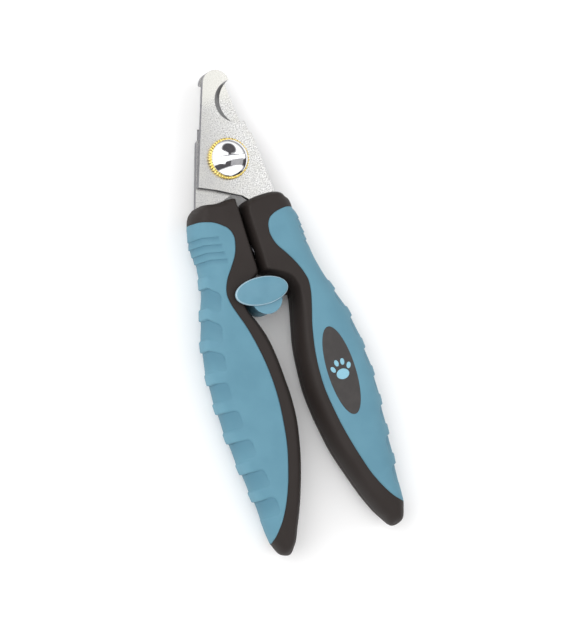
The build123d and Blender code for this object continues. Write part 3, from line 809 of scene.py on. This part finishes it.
button = {"center": (-3.1, -46.8), "halves": (9.5, 4.85), "tilt": -4.5, "under": 9.1, "top": 11.45,
          "dome": 0.55, "round": 0.9, "rim": 0.35, "rimRows": (6, 11), "sides": 128,
          "stem": (-1.9, -49.8), "stemHalves": (5.4, 5.35, 3.2), "stemLow": -3.1, "stemTaper": 0.32,
          "skirt": [(0, 0), (0, 1.0), (0.12, 0.96), (0.25, 0.9), (0.4, 0.89), (0.55, 0.92), (0.7, 0.98),
                    (0.82, 1.0), (0.97, 1.0), (1, 0.97), (1, 0)]}


def ovalPatch(center, halves, tilt, profile, sides=128):
    # Rings of an oval: each drawn in by its inset, scaled by its share, at its height
    angle = np.linspace(0, 2 * pi, sides, endpoint=False)[None]
    inset, share, z = (np.array([row[k] for row in profile], float)[:, None] for k in range(3))
    x = (halves[0] - inset) * share * np.cos(angle)
    y = (halves[1] - inset) * share * np.sin(angle)
    turn = radians(tilt)
    points = np.stack([center[0] + x * cos(turn) - y * sin(turn), center[1] + x * sin(turn) + y * cos(turn),
                       z + 0 * angle], axis=2)
    return points, gridFaces(len(profile), sides)


def capProfile(under, top, dome, bend, lip):
    # Underside, rounded side, then a shallow dome: top - dome share^2
    side = [(bend * (1 - cos(a)), 1, top - dome - bend + bend * sin(a)) for a in np.linspace(0, pi / 2, 9)]
    lower = [(lip * (1 - sin(a)), 1, under + lip * (1 - cos(a))) for a in np.linspace(0, pi / 2, 5)]
    crown = [(bend, share, top - dome * share ** 2) for share in (0.97, 0.9, 0.8, 0.65, 0.5, 0.3, 0.15, 0)]
    return [(lip, 0, under)] + lower + side + crown


def addButton():
    form = button
    cap = ovalPatch(form["center"], form["halves"], form["tilt"],
                    capProfile(form["under"], form["top"], form["dome"], form["round"], form["rim"]),
                    form["sides"])
    sides = form["sides"]
    angle = np.linspace(0, 2 * pi, sides, endpoint=False)[None]
    depth, size = (np.array([row[k] for row in form["skirt"]])[:, None] for k in range(2))
    reach = np.where(np.sin(angle) < 0, form["stemHalves"][1], form["stemHalves"][2])
    narrow = 1 - form["stemTaper"] * np.maximum(np.sin(angle), 0)
    stemX = form["stem"][0] + form["stemHalves"][0] * size * np.cos(angle) * narrow
    stemY = form["stem"][1] + reach * size * np.sin(angle)
    stemZ = form["under"] + 0.3 + (form["stemLow"] - form["under"] - 0.3) * depth + 0 * angle
    stem = np.stack([stemX, stemY, stemZ], axis=2), gridFaces(len(size), sides)
    points, faces = joinPatches([cap, stem])
    # rim marks the cap's rounded-side rows that get the painted highlight
    rim = np.zeros(len(points))
    first, last = form["rimRows"]
    rim[first * sides:last * sides] = 1
    piece = makePiece("lock_button_form", points, faces, looks["button"], {"rim": rim}, sharp=60)
    place(piece, "lock", "lock_button", "blue_button")


addButton()
print("button made")


badge = {"center": (15.9, -81.0), "halves": (5.1, 15.75), "low": 7.95, "top": 8.95, "bevel": 0.35,
         "motifTop": 9.13,
         "pads": [(0, -1.3, 2.3, 1.8, 0), (-2.9, 1.0, 0.75, 1.15, 25), (-1.1, 2.8, 0.75, 1.15, 8),
                  (1.1, 2.8, 0.75, 1.15, -8), (2.9, 1.0, 0.75, 1.15, -25)]}


def addBadge():
    form = badge
    points, faces = ovalPatch(form["center"], form["halves"], 0,
                              capProfile(form["low"], form["top"], 0.08, form["bevel"], 0.1), 192)
    plate = makePiece("badge_plate_form", points, faces, looks["badge"])
    place(plate, "right_half", "badge_plate", "badge_dark")
    patches = []
    for x, y, halfX, halfY, tilt in form["pads"]:
        spot = form["center"][0] + x, form["center"][1] + y
        patches.append(ovalPatch(spot, (halfX, halfY), tilt,
                                 capProfile(form["top"] - 0.2, form["motifTop"], 0.05, 0.12, 0.05), 64))
    points, faces = joinPatches(patches)
    motif = makePiece("badge_motif_form", points, faces, looks["motif"])
    place(motif, "right_half", "badge_motif", "motif_blue")


addBadge()
print("badge made")


screwForm = {"head": 1.8, "shank": 1.2, "headHeight": 1.4, "length": 10.7, "chamfer": 0.4, "cross": 0.26,
             "crossReach": 1.15, "crossDepth": 0.9, "low": -7.1, "lockPlace": (-2.1, -48.35, -6.9)}


def screwMesh():
    # Pan-head screw standing on its shank's end, with a cross recess, about the origin; its head faces down
    form = screwForm
    head, shank, end, cut = form["head"], form["shank"], form["length"], form["chamfer"]
    section = eased([(0, 0), (head - cut, 0), (head, 0.8), (head, form["headHeight"]),
                     (shank, form["headHeight"]), (shank, end - 0.3), (shank - cut, end), (0, end)], 0.45, 5)
    piece = makePiece("screw", *turnedPatch(section, sides=48), looks["zinc"])
    half, reach = form["cross"], form["crossReach"]
    carve(piece, [boxCutter((-reach, -half, -1), (reach, half, form["crossDepth"])),
                  boxCutter((-half, -reach, -1), (half, reach, form["crossDepth"]))])
    mesh = piece.data
    bpy.data.objects.remove(piece)
    return mesh


def addScrews():
    # Copies of one screw joined into a piece for each node
    base = screwMesh()
    low = screwForm["low"]
    groups = [("left_handle_screws", "left_half", [(-x, y, low) for x, y in shellHoles["screws"]]),
              ("right_handle_screws", "right_half", [(x, y, low) for x, y in shellHoles["screws"]]),
              ("lock_screw", "lock", [screwForm["lockPlace"]])]
    for node, body, spots in groups:
        work = bmesh.new()
        for x, y, z in spots:
            copy = base.copy()
            copy.transform(Matrix.Translation((x * mm, y * mm, z * mm)))
            work.from_mesh(copy)
        mesh = base.copy()
        work.to_mesh(mesh)
        work.free()
        mesh.set_sharp_from_angle(angle=radians(40))
        piece = bpy.data.objects.new(node + "_form", mesh)
        bpy.context.scene.collection.objects.link(piece)
        place(piece, body, node, "zinc_steel")


spring = {"turns": 8, "radius": 2.6, "wire": 0.4, "half": 7.6, "y": -33.0, "closed": 0.9, "steps": 30}


def addSpring():
    # Round wire round a helix along X whose end turns lie close: the pitch eases in over the closed turns
    form = spring
    t = np.linspace(0, 1, form["turns"] * form["steps"] + 1)
    turn = t * form["turns"]
    pitch = 0.18 + blendStep(turn, form["closed"] * 0.6, form["closed"] + 0.5) * blendStep(
        form["turns"] - turn, form["closed"] * 0.6, form["closed"] + 0.5)
    x = np.cumsum(pitch)
    x = (x - x[0]) / (x[-1] - x[0]) * 2 * form["half"] - form["half"]
    angle = turn * 2 * pi
    out = np.stack([0 * angle, np.cos(angle), np.sin(angle)], axis=1)
    middle = np.stack([x, form["radius"] * np.cos(angle) + form["y"], form["radius"] * np.sin(angle)], axis=1)
    run = np.gradient(middle, axis=0)
    run /= np.linalg.norm(run, axis=1)[:, None]
    across = np.cross(run, out)
    around = np.linspace(0, 2 * pi, 12, endpoint=False)[None, :, None]
    size = np.full(len(t), form["wire"])[:, None, None]
    ring = middle[:, None] + size * (np.cos(around) * out[:, None] + np.sin(around) * across[:, None])
    ends = [np.repeat(middle[k][None, None], 12, axis=1) for k in (0, -1)]
    points = np.concatenate([ends[0], ring, ends[1]])
    piece = makePiece("return_spring_form", points, gridFaces(*points.shape[:2]),
                      looks["spring"])
    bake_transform(piece)
    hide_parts("return_spring")


addScrews()
addSpring()
print("screws and spring made")


view = {"turn": 17.0, "roll": 17.64, "distance": 1.2, "fieldHeight": 0.21653, "right": -22.03, "up": 53.25}


def addCamera():
    # Looks down on the tool, leaning to its left side; right and up place the pivot in the frame
    turn, roll = radians(view["turn"]), radians(view["roll"])
    side = Vector((cos(turn), 0, sin(turn)))
    along = Vector((0, 1, 0))
    right = side * cos(roll) - along * sin(roll)
    up = side * sin(roll) + along * cos(roll)
    back = right.cross(up)
    target = Vector(hingePoint) - right * view["right"] * mm - up * view["up"] * mm
    camera = bpy.data.cameras.new("camera")
    camera.sensor_width = 36.0
    camera.lens = camera.sensor_width * view["distance"] / view["fieldHeight"]
    camera.clip_start = 0.05
    holder = bpy.data.objects.new("camera", camera)
    place = Matrix((right, up, back)).transposed().to_4x4()
    place.translation = target + back * view["distance"]
    holder.matrix_world = place
    bpy.context.scene.collection.objects.link(holder)
    bpy.context.scene.camera = holder


lights = [("key", (-0.7, 0.5, 1.2), 1.6, 9.5), ("fill", (0.9, -0.3, 1.1), 1.6, 3.4)]
room = {"strength": 1.5, "spot": (0.3, 0.63, 0.71), "spotEdge": 0.85, "spotCore": 0.92,
        "strip": (-0.62, -0.52, -0.2, -0.14), "dark": tone(0.03, 0.025, 0.03),
        "horizon": tone(0.12, 0.12, 0.125), "above": tone(1, 1, 1), "clear": 0.3}


def addLight():
    # Large soft panels over a pale room that darkens towards the horizon, which the bright metal mirrors
    for name, spot, size, power in lights:
        lamp = bpy.data.lights.new(name, "AREA")
        lamp.size = size
        lamp.energy = power
        holder = bpy.data.objects.new(name, lamp)
        aim = Vector(spot).to_track_quat("Z", "Y").to_matrix().to_4x4()
        holder.matrix_world = Matrix.Translation(spot) @ aim
        bpy.context.scene.collection.objects.link(holder)
    world = bpy.data.worlds.new("room")
    world.use_nodes = True
    sheet = NodeSheet(world.node_tree)
    direction = sheet.add("ShaderNodeTexCoord", output="Generated")
    sky = sheet.mix(sheet.add("ShaderNodeSeparateXYZ", None, {0: direction}, output=2).ramp(0, room["clear"]),
                    room["horizon"], room["above"])
    near = sheet.add("ShaderNodeVectorMath", {"operation": "DOT_PRODUCT"},
                     {0: direction, 1: Vector(room["spot"]).normalized()}, output="Value")
    sky = sheet.mix(near.ramp(room["spotEdge"], room["spotCore"]) * 0.95, sky, room["dark"])
    alongY = sheet.add("ShaderNodeSeparateXYZ", None, {0: direction}, output=1)
    low, lowCore, highCore, high = room["strip"]
    sky = sheet.mix(alongY.ramp(low, lowCore) * alongY.ramp(high, highCore) * 0.95, sky, room["dark"])
    background = sheet.tree.nodes["Background"]
    sheet.feed(background.inputs["Color"], sky)
    background.inputs["Strength"].default_value = room["strength"]
    bpy.context.scene.world = world
    bpy.context.scene.view_settings.view_transform = "Standard"


def addFloor():
    # One pale square, 3 m across
    size = 1.5
    mesh = bpy.data.meshes.new("floor")
    corners = [(-size, -size, 0), (size, -size, 0), (size, size, 0), (-size, size, 0)]
    mesh.from_pydata(corners, [], [(0, 1, 2, 3)])
    mesh.materials.append(paleFloor())
    floor = bpy.data.objects.new("floor", mesh)
    bpy.context.scene.collection.objects.link(floor)


addCamera()
addLight()
addFloor()
print("studio made")
